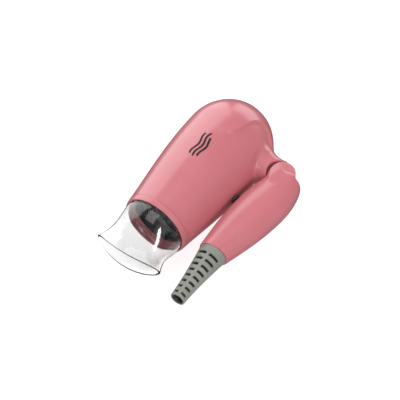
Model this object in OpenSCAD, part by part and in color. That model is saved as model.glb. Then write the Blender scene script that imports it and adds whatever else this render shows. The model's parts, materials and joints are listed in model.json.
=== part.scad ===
// Folding travel hair dryer, lying on its right side with its handle folded against the barrel.
// X runs along the barrel, nozzle at -X and inlet at +X. The handle lies at -Y. +Z is the dryer's left side.
// Inside the modules, "a" is the distance behind the trim line and "p" the distance below the barrel axis.

/* [Barrel] */
// Length from the trim line to the rear end
barrel_len = 136; // [126:1:142]
// Largest outside radius
barrel_r = 38.1; // [37:0.1:39.5]
// Outside radius at the trim line
front_r = 29.95; // [29:0.05:31]
// Where the taper reaches the full radius
belly_a = 90; // [80:1:94]
// Where the rear dome starts
dome_a = 95; // [90:1:98]
// Wall of the barrel casing
barrel_wall = 2.2; // [1.8:0.1:2.4]
// Radius of the rear opening
inlet_r = 20.5; // [18:0.5:22]

/* [Outlet] */
// Length of the outlet ring ahead of the trim line
rim_len = 5.5; // [4:0.5:8]
// Outside radius of the ring at its front edge
rim_r = 29.2; // [28.9:0.05:29.4]
// Radius of the socket that takes the nozzle
socket_r = 27.8; // [27.4:0.1:27.9]
// Bore behind the socket
throat_r = 26.3; // [25.5:0.1:26.4]
// Length of the ring's spigot inside the barrel
spigot_len = 9; // [7:0.5:12]
// Distance of the outlet grille behind the trim line
grille_a = 3; // [2:0.5:4]
// Thickness of the outlet grille
grille_t = 2.5; // [1.6:0.1:3]

/* [Nozzle] */
// How far the middle of the mouth reaches ahead of the trim line
nozzle_len = 47; // [42:1:50]
// How far the mouth's ends stay behind its middle
mouth_bow = 6.5; // [3:0.5:8]
// Half width of the mouth
mouth_half_w = 31.5; // [28:0.5:33]
// Half height of the mouth
mouth_half_h = 10.5; // [8:0.5:13]
// Half width of the waist
waist_half_w = 26.2; // [25:0.1:27]
// Wall of the nozzle
nozzle_wall = 1.6; // [1.2:0.1:2]

/* [Hinge] */
// Distance of the hinge behind the trim line
hinge_a = 92.4; // [91:0.1:94]
// Distance of the hinge below the barrel axis
hinge_p = 58; // [57.5:0.1:59.5]
// Radius of the handle's ears
ear_r = 11; // [10:0.1:11.5]
// Half width of the neck and of the ears
neck_half_t = 14; // [13:0.1:14.5]
// Half width of the neck's tongue
tongue_half_t = 5.5; // [4:0.1:6]
// Radius of the hinge pin
pin_r = 3; // [2.5:0.1:3.5]

/* [Handle] */
// Radius at the cord end
handle_end_r = 12; // [11:0.1:12.5]
// Largest radius
handle_r = 19.6; // [18:0.1:20.2]
// Where the handle is thickest
handle_mid_a = 60; // [56:1:64]
// Distance of the handle's cord end below the barrel axis
handle_p = 55; // [54.5:0.1:57]
// How much further the handle's axis drops per millimetre
handle_slope = 0.09; // [0.06:0.01:0.1]
// Half thickness across the flats
handle_half_t = 15.5; // [14.8:0.1:17]
// Wall of the handle casing
handle_wall = 2.2; // [1.8:0.1:2.4]

/* [Strain relief] */
// Length outside the handle
relief_len = 53; // [45:1:60]
// Radius at its tip
relief_tip_r = 6.6; // [6:0.1:7.5]
// Radius of the bore for the cord
cord_bore_r = 3.6; // [3:0.1:4]
// Rows of flexing slots
slot_rows = 8; // [5:1:9]

/* [Drive and heater] */
// Radius of the fan
fan_r = 32.6; // [30:0.1:32.8]
// Blades on the fan
fan_blades = 7; // [5:1:9]
// Radius of the motor
motor_r = 12; // [10:0.5:13]
// Length of the motor can
motor_len = 18; // [15:1:20]
// Radius of the heater's coils
coil_r = 20; // [17:0.5:22]
// Turns shown in the heater
coil_turns = 8; // [5:1:8]

/* [Switch] */
// Travel of the switch knob
switch_travel = 9; // [6:0.5:10]
// Length of the knob's stem
knob_len = 6; // [5:0.5:9]

/* [Hidden] */
$fn = 64;

pink = [0.86, 0.50, 0.54];
charcoal = [0.17, 0.18, 0.18];
warm_grey = [0.63, 0.64, 0.60];
seat = 0.05;          // running and push fits, on the radius
near = 0.3;           // between a piece and what carries it
eps = 0.01;
big = 200;

handle_dome = 43.2;   // from the thickest place to the tip of the rounded hinge end
relief_tilt = 3.2;    // the strain relief's lean away from the barrel

function barrel_radius(a) =
    a < 0 ? front_r + (front_r - rim_r) * a / rim_len :
    a < belly_a ? front_r + (barrel_r - front_r) * pow(sin(90 * a / belly_a), 1.12) :
    a <= dome_a ? barrel_r :
    barrel_r * sqrt(max(0, 1 - pow((a - dome_a) / (barrel_len - dome_a), 2)));
function handle_centre(a) = handle_p + handle_slope * a;
function handle_radius(a) =
    a < handle_mid_a ? handle_end_r + (handle_r - handle_end_r) * sin(90 * max(0, a) / handle_mid_a) :
    handle_r * sqrt(max(0, 1 - pow((a - handle_mid_a) / handle_dome, 2)));

// The origin is under the middle of the object's box: from the tip of the strain relief to the rear
// end, and from the barrel's far side to the handle's widest place.
handle_axis_tilt = atan(handle_slope);
handle_out = max([for (i = [0:200])
    let (a = (handle_mid_a + handle_dome) * i / 200)
    handle_p + a * sin(handle_axis_tilt) + handle_radius(a) * cos(handle_axis_tilt)]);
relief_reach = relief_len * cos(relief_tilt) + relief_tip_r * sin(relief_tilt);
x_shift = (relief_reach - barrel_len) / 2;
y_shift = (handle_out - barrel_r) / 2;

// Puts a piece drawn on the barrel's trim line and axis into place.
module in_place() { translate([x_shift, y_shift, barrel_r]) children(); }
// A solid of revolution about the barrel axis; its outline holds [radius, a].
module turned(outline) { rotate([0, 90, 0]) rotate_extrude() polygon(outline); }
// A tube about the barrel axis from a0 to a1.
module tube(a0, a1, r_out, r_in) { turned([[r_in, a0], [r_out, a0], [r_out, a1], [r_in, a1]]); }
module rod(a0, a1, r) { translate([a0, 0, 0]) rotate([0, 90, 0]) cylinder(r = r, h = a1 - a0); }
module half(side) { translate([-big / 2, -big / 2, side > 0 ? 0 : -big]) cube([2 * big, big, big]); }
module at_hinge() { translate([hinge_a, -hinge_p, 0]) children(); }
// A round wire through a list of points.
module wire(points, r) {
    for (i = [0:len(points) - 2]) {
        d = points[i + 1] - points[i];
        translate(points[i])
            rotate([0, acos(d[2] / norm(d)), atan2(d[1], d[0])])
                cylinder(r = r, h = norm(d), $fn = 24);
        if (i > 0) translate(points[i]) sphere(r = r, $fn = 24);
    }
}

// ---- barrel casing ----
dome_steps = 12;
inlet_angle = acos(inlet_r / barrel_r);
function barrel_outline(inset, dome_end) = concat(
    [for (a = [0:6:belly_a]) [barrel_radius(a) - inset, a]],
    [for (i = [1:dome_steps])
        let (t = i * dome_end / dome_steps)
        [(barrel_r - inset) * cos(t), dome_a + (barrel_len - dome_a - inset) * sin(t)]]);
// The angle on the inner dome at which it reaches the rear opening.
inner_angle = acos((inlet_r + eps) / (barrel_r - barrel_wall));

module barrel_wall_solid() {
    outer = barrel_outline(0, inlet_angle);
    inner = barrel_outline(barrel_wall, inner_angle);
    turned(concat(outer, [for (i = [len(inner) - 1:-1:0]) inner[i]]));
}

hood_gap = 0.8;                              // between the ears and the hood that covers them
lip_a = hinge_a + 15;                        // rear face of the neck
lip_p = hinge_p - 2.1;                       // end of the neck's lip
tip_a = hinge_a - 9.8;                       // the neck's front lower corner
tip_p = hinge_p - 9.4;
neck_root_p = 26;                            // where the neck dies away inside the barrel's wall

module neck_block() {
    linear_extrude(height = 2 * neck_half_t, center = true)
        polygon([[tip_a, -tip_p], [tip_a - 0.6, -tip_p + 4], [tip_a + 1.6, -tip_p + 10],
                 [tip_a + 1.6, -neck_root_p], [lip_a + 1.6, -neck_root_p], [lip_a, -hinge_p + 18],
                 [lip_a, -lip_p], [hinge_a, -hinge_p + 4]]);
}

module neck() {
    difference() {
        union() {
            difference() {
                neck_block();
                at_hinge() for (s = [-1, 1])
                    translate([0, 0, s * (tongue_half_t + big / 2)])
                        cylinder(r = ear_r + hood_gap, h = big, center = true);
                at_hinge() cylinder(r = ear_r - 1, h = 2 * tongue_half_t, center = true);
            }
            at_hinge() cylinder(r = ear_r - 1, h = 2 * tongue_half_t, center = true);
            translate([tip_a + 2, -hinge_p + 6, -tongue_half_t])
                cube([lip_a - tip_a - 5, 12, 2 * tongue_half_t]);
        }
        rotate([0, 90, 0]) cylinder(r = barrel_r - barrel_wall, h = big);
        at_hinge() cylinder(r = pin_r + seat, h = big, center = true);
    }
}
// Way for the leads from the barrel down to the tongue.
module lead_way() {
    translate([tip_a + 5, -hinge_p + 13.5, -neck_half_t + 3]) cube([8, 25, 2 * neck_half_t - 6]);
    translate([tip_a + 6, -hinge_p + 10.5, -2.5]) cube([4, 5, 5]);
}

screw_shank_r = 1.3;
screw_head_r = 2.6;
neck_screw_a = lip_a - 5.5;
neck_screw_p = hinge_p - 15.5;
// A self-tapping screw along Z, its head at the bottom.
module screw(head_z, tip_z) {
    translate([0, 0, head_z]) cylinder(r = screw_head_r, h = 1.8);
    translate([0, 0, head_z + 1.8 - eps]) cylinder(r = screw_shank_r, h = tip_z - head_z - 1.8);
}
module screw_hole(head_z, tip_z) {
    translate([0, 0, head_z - big]) cylinder(r = screw_head_r + 0.2, h = big + 1.8 + seat);
    translate([0, 0, head_z]) cylinder(r = screw_shank_r + seat, h = tip_z - head_z + 0.5);
}
neck_screw_head = -neck_half_t + 1.5;
neck_screw_tip = neck_half_t - 5;

module barrel_half(side) {
    in_place() color(pink) intersection() {
        difference() {
            union() { barrel_wall_solid(); neck(); }
            lead_way();
            translate([neck_screw_a, -neck_screw_p, 0]) screw_hole(neck_screw_head, neck_screw_tip);
        }
        half(side);
    }
}
module barrel_shell_left() { barrel_half(1); }
module barrel_shell_right() { barrel_half(-1); }
module neck_screw() {
    in_place() color("silver")
        translate([neck_screw_a, -neck_screw_p, 0]) screw(neck_screw_head, neck_screw_tip);
}

// ---- outlet ----
spigot_r = front_r - barrel_wall - seat;
module outlet_ring() {
    in_place() color(pink)
        turned([[socket_r, -rim_len], [rim_r, -rim_len], [front_r, 0], [spigot_r, 0], [spigot_r, spigot_len],
                [throat_r, spigot_len], [throat_r, 0], [socket_r, 0]]);
}
module grille_disc(r_out, ring_step, rib_count, hub, t) {
    tube(0, t, r_out, r_out - 1.6);
    for (r = [hub + ring_step:ring_step:r_out - 2.5]) tube(0, t * 0.6, r, r - 0.9);
    rod(0, t, hub);
    for (i = [0:rib_count - 1])
        rotate([(i + 0.5) * 360 / rib_count, 0, 0]) translate([0, -0.6, hub - 0.5])
            cube([t, 1.2, r_out - hub - 0.6]);
}
module outlet_grille() {
    disc_r = throat_r - seat;
    hub = 4;
    in_place() color(charcoal) translate([grille_a, 0, 0]) rotate([0, 90, 0])
        linear_extrude(height = grille_t) {
            circle(r = hub);
            for (r = concat([disc_r], [for (r = [hub + 3:3.1:disc_r - 3]) r])) difference() {
                circle(r = r);
                circle(r = r - (r == disc_r ? 1.6 : 0.9));
            }
            for (i = [0:5]) rotate(i * 60 + 10) translate([hub - 0.5, -0.6]) square([disc_r - hub - 0.5, 1.2]);
        }
}

// ---- inlet ----
cap_r = inlet_r - near;
cap_t = 1.8;
cap_a = dome_a + (barrel_len - dome_a) * sin(inlet_angle);
filter_a = cap_a - 2.6;
module cap_skin() {
    cap_angle = acos(cap_r / barrel_r);
    steps = 8;
    turned(concat(
        [for (i = [0:steps]) let (t = cap_angle + (90 - cap_angle) * i / steps)
            [barrel_r * cos(t), dome_a + (barrel_len - dome_a) * sin(t)]],
        [for (i = [steps:-1:0]) let (t = cap_angle + (90 - cap_angle) * i / steps)
            [(barrel_r - cap_t) * cos(t), dome_a + (barrel_len - dome_a - cap_t) * sin(t)]]));
}
module rear_grille() {
    in_place() color(charcoal) {
        intersection() {
            cap_skin();
            translate([cap_a - 6, 0, 0]) grille_disc(cap_r + 0.5, 3, 8, 3, 20);
        }
        tube(filter_a + 0.7, cap_a - 0.5, cap_r - 0.2, cap_r - 2);
    }
}
module inlet_filter() {
    in_place() color("gray") tube(filter_a, filter_a + 0.6, cap_r - 0.4, 2);
}

// ---- heater ----
mica_end = 62;
mica_r = throat_r - 0.1;
board_half_w = mica_r - 0.5;
coil_start = 14;
coil_pitch = 5.4;
coil_wire_r = 0.6;
module coil_rings(r) {
    for (i = [0:coil_turns - 1])
        translate([coil_start + i * coil_pitch, 0, 0]) rotate([0, 90, 0])
            rotate_extrude() translate([coil_r, 0]) circle(r = r, $fn = 24);
}
module mica_tube() {
    in_place() color([0.72, 0.66, 0.5]) tube(grille_a + grille_t + 0.1, mica_end, mica_r, mica_r - 0.4);
}
module heater_boards() {
    in_place() color([0.78, 0.72, 0.56]) difference() {
        for (t = [0, 90])
            rotate([t, 0, 0]) translate([8, -board_half_w, -0.4]) cube([mica_end - 10, 2 * board_half_w, 0.8]);
        coil_rings(coil_wire_r + 0.15);
    }
}
module heater_coils() { in_place() color([0.55, 0.52, 0.5]) coil_rings(coil_wire_r); }
module heater_rivets() {
    in_place() color("gold") for (s = [-1, 1])
        translate([mica_end - 5, s * 22, 0.4]) cylinder(r = 1.5, h = 1.2, $fn = 32);
}
module thermostat() {
    in_place() color("beige") translate([coil_start + 4, 4, 0.4]) cube([9, 7, 3.2]);
}
module thermal_fuse() {
    in_place() color("lightgray") translate([0, -8, 2]) rod(coil_start + 3, coil_start + 13, 1.55);
}

// ---- motor and fan ----
duct_a = 66;
duct_end = 99;
duct_r = 34.8;
duct_in_r = fan_r + 0.5;
motor_a = duct_a + 2;
sleeve_t = 1.1;
cup_in_r = motor_r + sleeve_t + 2 * seat;
shaft_r = 1;
fan_a = motor_a + motor_len + 3.5;
fan_len = 8.5;
module fan_duct() {
    in_place() color([0.85, 0.84, 0.8]) difference() {
        union() {
            tube(duct_a, duct_end, duct_r, duct_in_r);
            tube(duct_a, motor_a + motor_len - 2, cup_in_r + 1.3, cup_in_r);
            for (i = [0:4])
                rotate([i * 72 + 36, 0, 0]) translate([duct_a + 2, -0.7, cup_in_r + 0.6])
                    cube([motor_len - 4, 1.4, duct_in_r - cup_in_r]);
        }
        // Channel for the leads along the handle side.
        translate([duct_a - 1, -duct_r - 1, -3]) cube([duct_end - duct_a + 2, 3.2, 6]);
    }
}
module motor_sleeve() {
    in_place() color("dimgray") tube(motor_a, motor_a + motor_len - 3, cup_in_r - seat, motor_r + seat);
}
module motor_can() {
    in_place() color("silver") difference() {
        union() {
            rod(motor_a, motor_a + motor_len, motor_r);
            rod(motor_a + motor_len - eps, motor_a + motor_len + 1.5, 3);
        }
        rod(motor_a + 6, motor_a + motor_len + 2, shaft_r + seat);
    }
}
module motor_end_cap() {
    in_place() color("ivory") {
        rod(motor_a - 2, motor_a, motor_r - 1);
        for (s = [-1, 1]) translate([0, 0, s * 7]) rod(motor_a - 4.1, motor_a - 2 + eps, 0.8);
    }
}
board_a = motor_a - 4.1 - 1.2;
module rectifier_board() {
    in_place() color([0.2, 0.45, 0.25]) rod(board_a, board_a + 1.2, motor_r - 1);
}
module rectifier_diodes() {
    in_place() color(charcoal) for (s = [-5.5, -1.8, 1.8, 5.5])
        translate([board_a - 1.15, s, -3]) cylinder(r = 1.1, h = 6, $fn = 32);
}
module motor_shaft() {
    in_place() color("silver") rod(motor_a + 6.2, fan_a + fan_len - 1, shaft_r);
}
module fan_impeller() {
    in_place() color([0.9, 0.88, 0.84]) difference() {
        union() {
            turned([[0, fan_a], [9.5, fan_a], [9.5, fan_a + 5], [7, fan_a + fan_len], [0, fan_a + fan_len + 1]]);
            intersection() {
                for (i = [0:fan_blades - 1])
                    rotate([i * 360 / fan_blades, 0, 0])
                        translate([fan_a + fan_len / 2, 0, 8]) rotate([0, 0, 38])
                            translate([-0.6, -8, 0]) cube([1.2, 16, fan_r]);
                tube(fan_a - 1, fan_a + fan_len, fan_r, 8);
            }
        }
        rod(fan_a - 1, fan_a + fan_len - 1, shaft_r + 0.02);
    }
}
lead_r = 0.75;
module barrel_leads() {
    in_place() color("firebrick") for (s = [-1, 1])
        wire([[mica_end - 1, -27.2, 1.2 * s], [mica_end + 1.5, -33.7, 1.2 * s],
              [tip_a + 8, -33.7, 1.2 * s], [tip_a + 8, -hinge_p + 12, 1.2 * s]], lead_r);
}

// ---- handle ----
heel_angle = 80;                             // the cut that frees the neck runs from here
front_angle = -139;                          // round to here, about the hinge
module handle_form(inset, a0) {
    a1 = handle_mid_a + handle_dome - inset;
    outline = concat([[0, a0]],
        [for (i = [0:20]) let (a = a0 + (a1 - a0) * sin(4.5 * i)) [max(0, handle_radius(a) - inset), a]],
        inset > 0 ? [[0, a1]] : []);
    intersection() {
        translate([0, -handle_p, 0]) rotate([0, 0, -handle_axis_tilt]) rotate([0, 90, 0])
            rotate_extrude() polygon(outline);
        translate([-big / 2, -big, -handle_half_t + inset]) cube([2 * big, big, 2 * (handle_half_t - inset)]);
    }
}
module neck_sector() {
    reach = 60;
    at_hinge() linear_extrude(height = big, center = true)
        polygon([[0, 0], for (t = [front_angle:(heel_angle - front_angle) / 6:heel_angle])
            reach * [cos(t), -sin(t)]]);
}
switch_a = 50.5;                             // front end of the slot for the knob
slot_half_w = 3.4;
boss_r = 3.4;
handle_bosses = [[23, 9], [66, 7]];          // along the handle, and outward from its axis
clamp_a = 12;
clamp_post = 6.5;
relief_neck_r = 8;
end_wall = 3;

module handle_half(side) {
    in_place() color(pink) difference() {
        intersection() {
            union() {
                difference() {
                    handle_form(0, -2);
                    translate([-big, -big, -big / 2]) cube([big, 2 * big, big]);
                    intersection() {
                        handle_form(handle_wall, 0);
                        translate([end_wall, -big, -big / 2]) cube([75 - end_wall, big, big]);
                    }
                    neck_sector();
                }
                at_hinge() cylinder(r = ear_r, h = 2 * neck_half_t, center = true);
                intersection() {
                    handle_form(0.5, 0);
                    for (b = handle_bosses)
                        translate([b[0], -handle_centre(b[0]) - b[1], -handle_half_t + 0.5])
                            cylinder(r = boss_r, h = 2 * handle_half_t - 1);
                }
                if (side < 0) intersection() {
                    handle_form(0.5, 0);
                    for (s = [-1, 1])
                        translate([clamp_a, -handle_centre(clamp_a) + s * clamp_post, -handle_half_t])
                            cylinder(r = 2.3, h = handle_half_t - 0.5);
                }
            }
            half(side);
        }
        // Slot that the neck's tongue turns in, with the pin's bore.
        at_hinge() cylinder(r = ear_r + 0.5, h = 2 * (tongue_half_t + 0.5), center = true);
        at_hinge() cylinder(r = pin_r + seat, h = 2 * (neck_half_t - 2.4), center = true);
        translate([74, -hinge_p, 0]) rotate([0, 90, 0]) cylinder(r = 2.8, h = 10);
        // Mouth for the strain relief, the switch's slot and the screw holes.
        translate([0, -handle_p, 0]) rod(-1, end_wall + 1, relief_neck_r + near);
        translate([switch_a, -handle_p + 6, -slot_half_w])
            cube([switch_travel + knob_len + 1.5, 12, 2 * slot_half_w]);
        for (b = handle_bosses)
            translate([b[0], -handle_centre(b[0]) - b[1], 0]) screw_hole(-10, 9);
        for (s = [-1, 1])
            translate([clamp_a, -handle_centre(clamp_a) + s * clamp_post, -8])
                cylinder(r = 1 + seat, h = 20, $fn = 32);
    }
}
module handle_shell_left() { handle_half(1); }
module handle_shell_right() { handle_half(-1); }
module handle_screws() {
    in_place() color("silver") for (b = handle_bosses)
        translate([b[0], -handle_centre(b[0]) - b[1], 0]) screw(-10, 9);
}
module hinge_pin() {
    in_place() color("silver") at_hinge() cylinder(r = pin_r, h = 2 * (neck_half_t - 2.6), center = true);
}
module hinge_washers() {
    in_place() color("gold") at_hinge() for (s = [-1, 1])
        translate([0, 0, s * (tongue_half_t + 0.25)]) difference() {
            cylinder(r = ear_r - 3, h = 0.4, center = true);
            cylinder(r = pin_r + seat, h = 1, center = true);
        }
}

// ---- switch ----
module switch_body() {
    in_place() color(charcoal) translate([switch_body_a, -handle_p + 2.5, -6.5])
        cube([switch_body_len, 7.3, 13]);
}
module switch_knob() {
    in_place() color(charcoal) translate([switch_a + 0.5, 0, 0]) {
        translate([0, -handle_p + 10.1, -slot_half_w + 0.4]) cube([knob_len, 5.5, 2 * slot_half_w - 0.8]);
        translate([-0.8, -handle_p + 15.3, -5]) cube([knob_len + 1.6, 1.8, 10]);
    }
}

// ---- cord end ----
module cord_clamp() {
    in_place() color("dimgray") translate([clamp_a - 2.5, -handle_centre(clamp_a) - 9, 0]) difference() {
        cube([5, 18, 2.5]);
        for (s = [-1, 1]) translate([2.5, 9 + s * clamp_post, -1]) cylinder(r = 1 + seat, h = 5, $fn = 32);
    }
}
module cord_clamp_screws() {
    in_place() color("silver") for (s = [-1, 1])
        translate([clamp_a, -handle_centre(clamp_a) + s * clamp_post, 0]) {
            translate([0, 0, 2.55]) cylinder(r = 1.9, h = 1.2, $fn = 32);
            translate([0, 0, -7]) cylinder(r = 1, h = 10, $fn = 32);
        }
}
// The two leads meet the switch half way up the handle, either side of its middle.
lead_p = handle_p - 5;
lead_z = 4.5;
connector_a = 18;
connector_len = 5;
switch_body_a = switch_a - 1;
switch_body_len = switch_travel + knob_len + 3.5;
module lead_connectors() {
    in_place() color("silver") for (s = [-1, 1])
        translate([0, -lead_p, s * lead_z]) rod(connector_a, connector_a + connector_len, 1.7);
}
module handle_leads() {
    in_place() color("firebrick") for (s = [-1, 1]) {
        translate([0, -lead_p, s * lead_z]) rod(connector_a + connector_len + 0.1, switch_body_a - 0.1, lead_r);
        wire([[switch_body_a + switch_body_len + 1, -lead_p, s * lead_z], [73.8, -hinge_p, s * 1.2]], lead_r);
        translate([0, -hinge_p, s * 1.2]) rod(73.2, 79, lead_r);
    }
}
relief_in = 3.2;
relief_base_r = handle_end_r - 0.3;
function relief_radius(d) = relief_tip_r + (relief_base_r - relief_tip_r) * pow(1 - max(0, d) / relief_len, 1.5);
// Draws along the relief's own axis, its slots' rows at right angles to it.
module along_relief() {
    translate([0, -handle_p, 0]) rotate([0, 0, 180 + relief_tilt]) rotate([20, 0, 0]) rotate([0, 90, 0]) children();
}
module relief_horn() {
    along_relief() rotate_extrude() polygon(concat([[0, -2], [relief_base_r, -2]],
        [for (i = [0:5]) [relief_radius(relief_len * i / 5), relief_len * i / 5]], [[0, relief_len]]));
}
module relief_slots() {
    pitch = (relief_len - 11.4) / (slot_rows - 1);
    for (row = [0:slot_rows - 1], k = [0:3]) {
        d = 6.9 + row * pitch;
        r = relief_radius(d);
        along_relief() rotate([0, 0, k * 90 + 25]) translate([r - 1.5, -r * 0.52, d]) cube([3, r * 1.04, 2]);
    }
}
module strain_relief() {
    in_place() color(warm_grey) difference() {
        union() {
            difference() {
                relief_horn();
                translate([-0.1, -big, -big / 2]) cube([big, 2 * big, big]);
                relief_slots();
            }
            translate([0, -handle_p, 0]) rod(-1, end_wall + relief_in, relief_neck_r);
            translate([0, -handle_p, 0]) rod(end_wall + 0.2, end_wall + relief_in, relief_neck_r + 1.6);
        }
        along_relief() translate([0, 0, -12]) cylinder(r = cord_bore_r, h = relief_len + 17);
    }
}

// ---- nozzle ----
nozzle_base_r = socket_r - 0.08;
nozzle_sides = 48;
nozzle_steps = 10;
base_end = rim_len + 3;                      // the round base ends this far ahead of the trim line
// Half width and half height of the nozzle's section, s running from 0 at the base to 1 at the mouth.
function nozzle_w(s) = nozzle_base_r + (waist_half_w - nozzle_base_r) * sin(180 * min(1, s / 0.9))
    + (mouth_half_w - nozzle_base_r) * pow(s, 3);
function nozzle_h(s) = nozzle_base_r + (mouth_half_h - nozzle_base_r) * (1 - cos(180 * s)) / 2;
function nozzle_ring(s, inset) = [for (i = [0:nozzle_sides - 1])
    let (t = 360 * i / nozzle_sides, y = (nozzle_w(s) - inset) * cos(t), z = (nozzle_h(s) - inset) * sin(t),
         reach = nozzle_len - mouth_bow * pow(y / mouth_half_w, 2))
    [-(base_end + (reach - base_end) * s), y, z]];
function plug_ring(d, inset) = [for (i = [0:nozzle_sides - 1])
    let (t = 360 * i / nozzle_sides)
    [d, (nozzle_base_r - inset) * cos(t), (nozzle_base_r - inset) * sin(t)]];
// A closed wall through a list of rings with equal numbers of points.
module ring_wall(rings) {
    n = len(rings[0]);
    m = len(rings);
    polyhedron(
        points = [for (ring = rings) for (q = ring) q],
        faces = [for (j = [0:m - 1]) for (i = [0:n - 1]) let (k = (i + 1) % n, l = (j + 1) % m)
            for (f = [[j * n + i, l * n + k, j * n + k], [j * n + i, l * n + i, l * n + k]]) f]);
}
module concentrator_nozzle() {
    in_place() color([0.9, 0.93, 0.95, 0.4])
        ring_wall(concat(
            [plug_ring(-0.4, 0)],
            [for (i = [0:nozzle_steps]) nozzle_ring(i / nozzle_steps, 0)],
            [for (i = [nozzle_steps:-1:0]) nozzle_ring(i / nozzle_steps, nozzle_wall)],
            [plug_ring(-0.4, nozzle_wall)]));
}

barrel_shell_left();
barrel_shell_right();
outlet_ring();
outlet_grille();
rear_grille();
inlet_filter();
mica_tube();
heater_boards();
heater_coils();
heater_rivets();
thermostat();
thermal_fuse();
rectifier_board();
rectifier_diodes();
fan_duct();
motor_sleeve();
motor_can();
motor_end_cap();
barrel_leads();
neck_screw();
motor_shaft();
fan_impeller();
handle_shell_left();
handle_shell_right();
hinge_pin();
hinge_washers();
switch_body();
switch_knob();
handle_leads();
lead_connectors();
cord_clamp();
cord_clamp_screws();
handle_screws();
strain_relief();
concentrator_nozzle();
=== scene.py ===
import bpy
import bmesh
import json
import math
import numpy as np
from mathutils import Matrix, Vector


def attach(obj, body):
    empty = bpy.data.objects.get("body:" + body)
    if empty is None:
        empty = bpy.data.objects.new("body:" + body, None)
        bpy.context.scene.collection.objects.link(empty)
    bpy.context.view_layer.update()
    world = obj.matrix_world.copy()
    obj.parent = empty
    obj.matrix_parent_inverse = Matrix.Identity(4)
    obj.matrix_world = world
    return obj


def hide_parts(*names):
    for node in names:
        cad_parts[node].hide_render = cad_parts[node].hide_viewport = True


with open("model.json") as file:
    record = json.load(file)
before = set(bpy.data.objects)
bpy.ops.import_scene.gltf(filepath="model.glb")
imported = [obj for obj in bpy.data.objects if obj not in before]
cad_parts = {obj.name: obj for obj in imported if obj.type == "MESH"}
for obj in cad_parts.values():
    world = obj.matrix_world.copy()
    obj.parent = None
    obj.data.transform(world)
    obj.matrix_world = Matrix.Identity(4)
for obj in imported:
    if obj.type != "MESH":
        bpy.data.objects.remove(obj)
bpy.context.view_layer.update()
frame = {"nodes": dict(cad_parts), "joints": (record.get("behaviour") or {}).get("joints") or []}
scene = bpy.context.scene
nodes = frame["nodes"]
joints = {j["name"]: j for j in frame["joints"]}
print("frame loaded:", len(nodes), "CAD nodes")

# Pieces are drawn in millimetres from the barrel's trim line: x runs back along the barrel,
# y runs away from the handle and z runs up, out of the dryer's left side.
start = Vector(joints["nozzle_turn"]["pos_m"])
hinge = (Vector(joints["handle_fold"]["pos_m"]) - start) * 1000
mm = 0.001


# Nodes that several trees use.
def addNode(tree, kind, inputs=(), **settings):
    # A new node, set up, with a value or a feeding output for each input that is named.
    node = tree.nodes.new(kind)
    for label, value in settings.items():
        setattr(node, label, value)
    for label, value in dict(inputs).items():
        if isinstance(value, bpy.types.NodeSocket):
            tree.links.new(value, node.inputs[label])
        else:
            node.inputs[label].default_value = value
    return node


def addNoise(tree, coords, scale, detail=2.0, roughness=0.5):
    inputs = {"Vector": coords, "Scale": scale, "Detail": detail, "Roughness": roughness}
    return addNode(tree, "ShaderNodeTexNoise", inputs).outputs["Fac"]


def addRange(tree, value, low, high, toLow, toHigh):
    inputs = {"Value": value, "From Min": low, "From Max": high, "To Min": toLow, "To Max": toHigh}
    return addNode(tree, "ShaderNodeMapRange", inputs, interpolation_type="SMOOTHSTEP").outputs["Result"]


def addMix(tree, factor, first, second):
    mix = tree.nodes.new("ShaderNodeMix")
    mix.data_type = "RGBA"
    sockets = [s for s in mix.inputs if s.type == "RGBA"]
    tree.links.new(factor, mix.inputs[0])
    for socket, value in zip(sockets, (first, second)):
        if isinstance(value, tuple):
            socket.default_value = (*value, 1)
        else:
            tree.links.new(value, socket)
    return [s for s in mix.outputs if s.type == "RGBA"][0]


def addMath(tree, operation, first, second):
    return addNode(tree, "ShaderNodeMath", {0: first, 1: second}, operation=operation).outputs[0]


def addObject(name, data):
    obj = bpy.data.objects.new(name, data)
    scene.collection.objects.link(obj)
    return obj


# Camera, light and floor.
studio = {
    "azimuth": -54, "elevation": 54, "distance": 3.006, "lens": 330,
    "lookAt": (-0.00366, 0.00639, 0.0381), "lightsAim": (0, 0, 0.03),
    "floorColour": (0.3, 0.3, 0.3), "floorGlow": 0.86, "floorHalf": 3.0,
    "skyBright": 1.6, "skyDark": 0.45, "skyTowards": (0.15, 0.75, 0.65), "skyFrom": -0.5, "skyTo": 0.9,
}
# Each soft light: its place, its size, its power and whether glossy surfaces mirror it.
lights = {
    "wallLight": ((0.42, 1.2, 0.5), (2.0, 1.75), 20, True),
    "keyLight": ((0.0, 0.1, 1.3), (1.0, 0.8), 7.5, False),
    "fillLight": ((-0.25, -1.0, 0.85), (1.2, 1.0), 4, False),
    "rearLight": ((1.35, 0.1, 0.3), (1.1, 0.8), 5, True),
    "windowLight": ((-0.95, 0.1, 0.95), (0.12, 0.2), 1.6, True),
    "stripLight": ((-0.42, -0.95, 0.9), (0.26, 0.46), 6, True),
}


def aimed(obj, place, target):
    obj.location = place
    obj.rotation_euler = (Vector(target) - Vector(place)).to_track_quat("-Z", "Y").to_euler()


def setCamera():
    az, el = math.radians(studio["azimuth"]), math.radians(studio["elevation"])
    back = Vector((math.sin(az) * math.cos(el), -math.cos(az) * math.cos(el), math.sin(el)))
    camera = addObject("camera", bpy.data.cameras.new("camera"))
    camera.data.lens = studio["lens"]
    camera.data.sensor_width = 36
    camera.data.clip_start = 0.01
    target = Vector(studio["lookAt"])
    aimed(camera, target + back * studio["distance"], target)
    scene.camera = camera


def addSoftbox(name, place, size, power, mirrored):
    light = bpy.data.lights.new(name, "AREA")
    light.shape = "RECTANGLE"
    light.size, light.size_y = size
    light.energy = power
    obj = addObject(name, light)
    obj.visible_glossy = mirrored
    aimed(obj, place, studio["lightsAim"])


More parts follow.
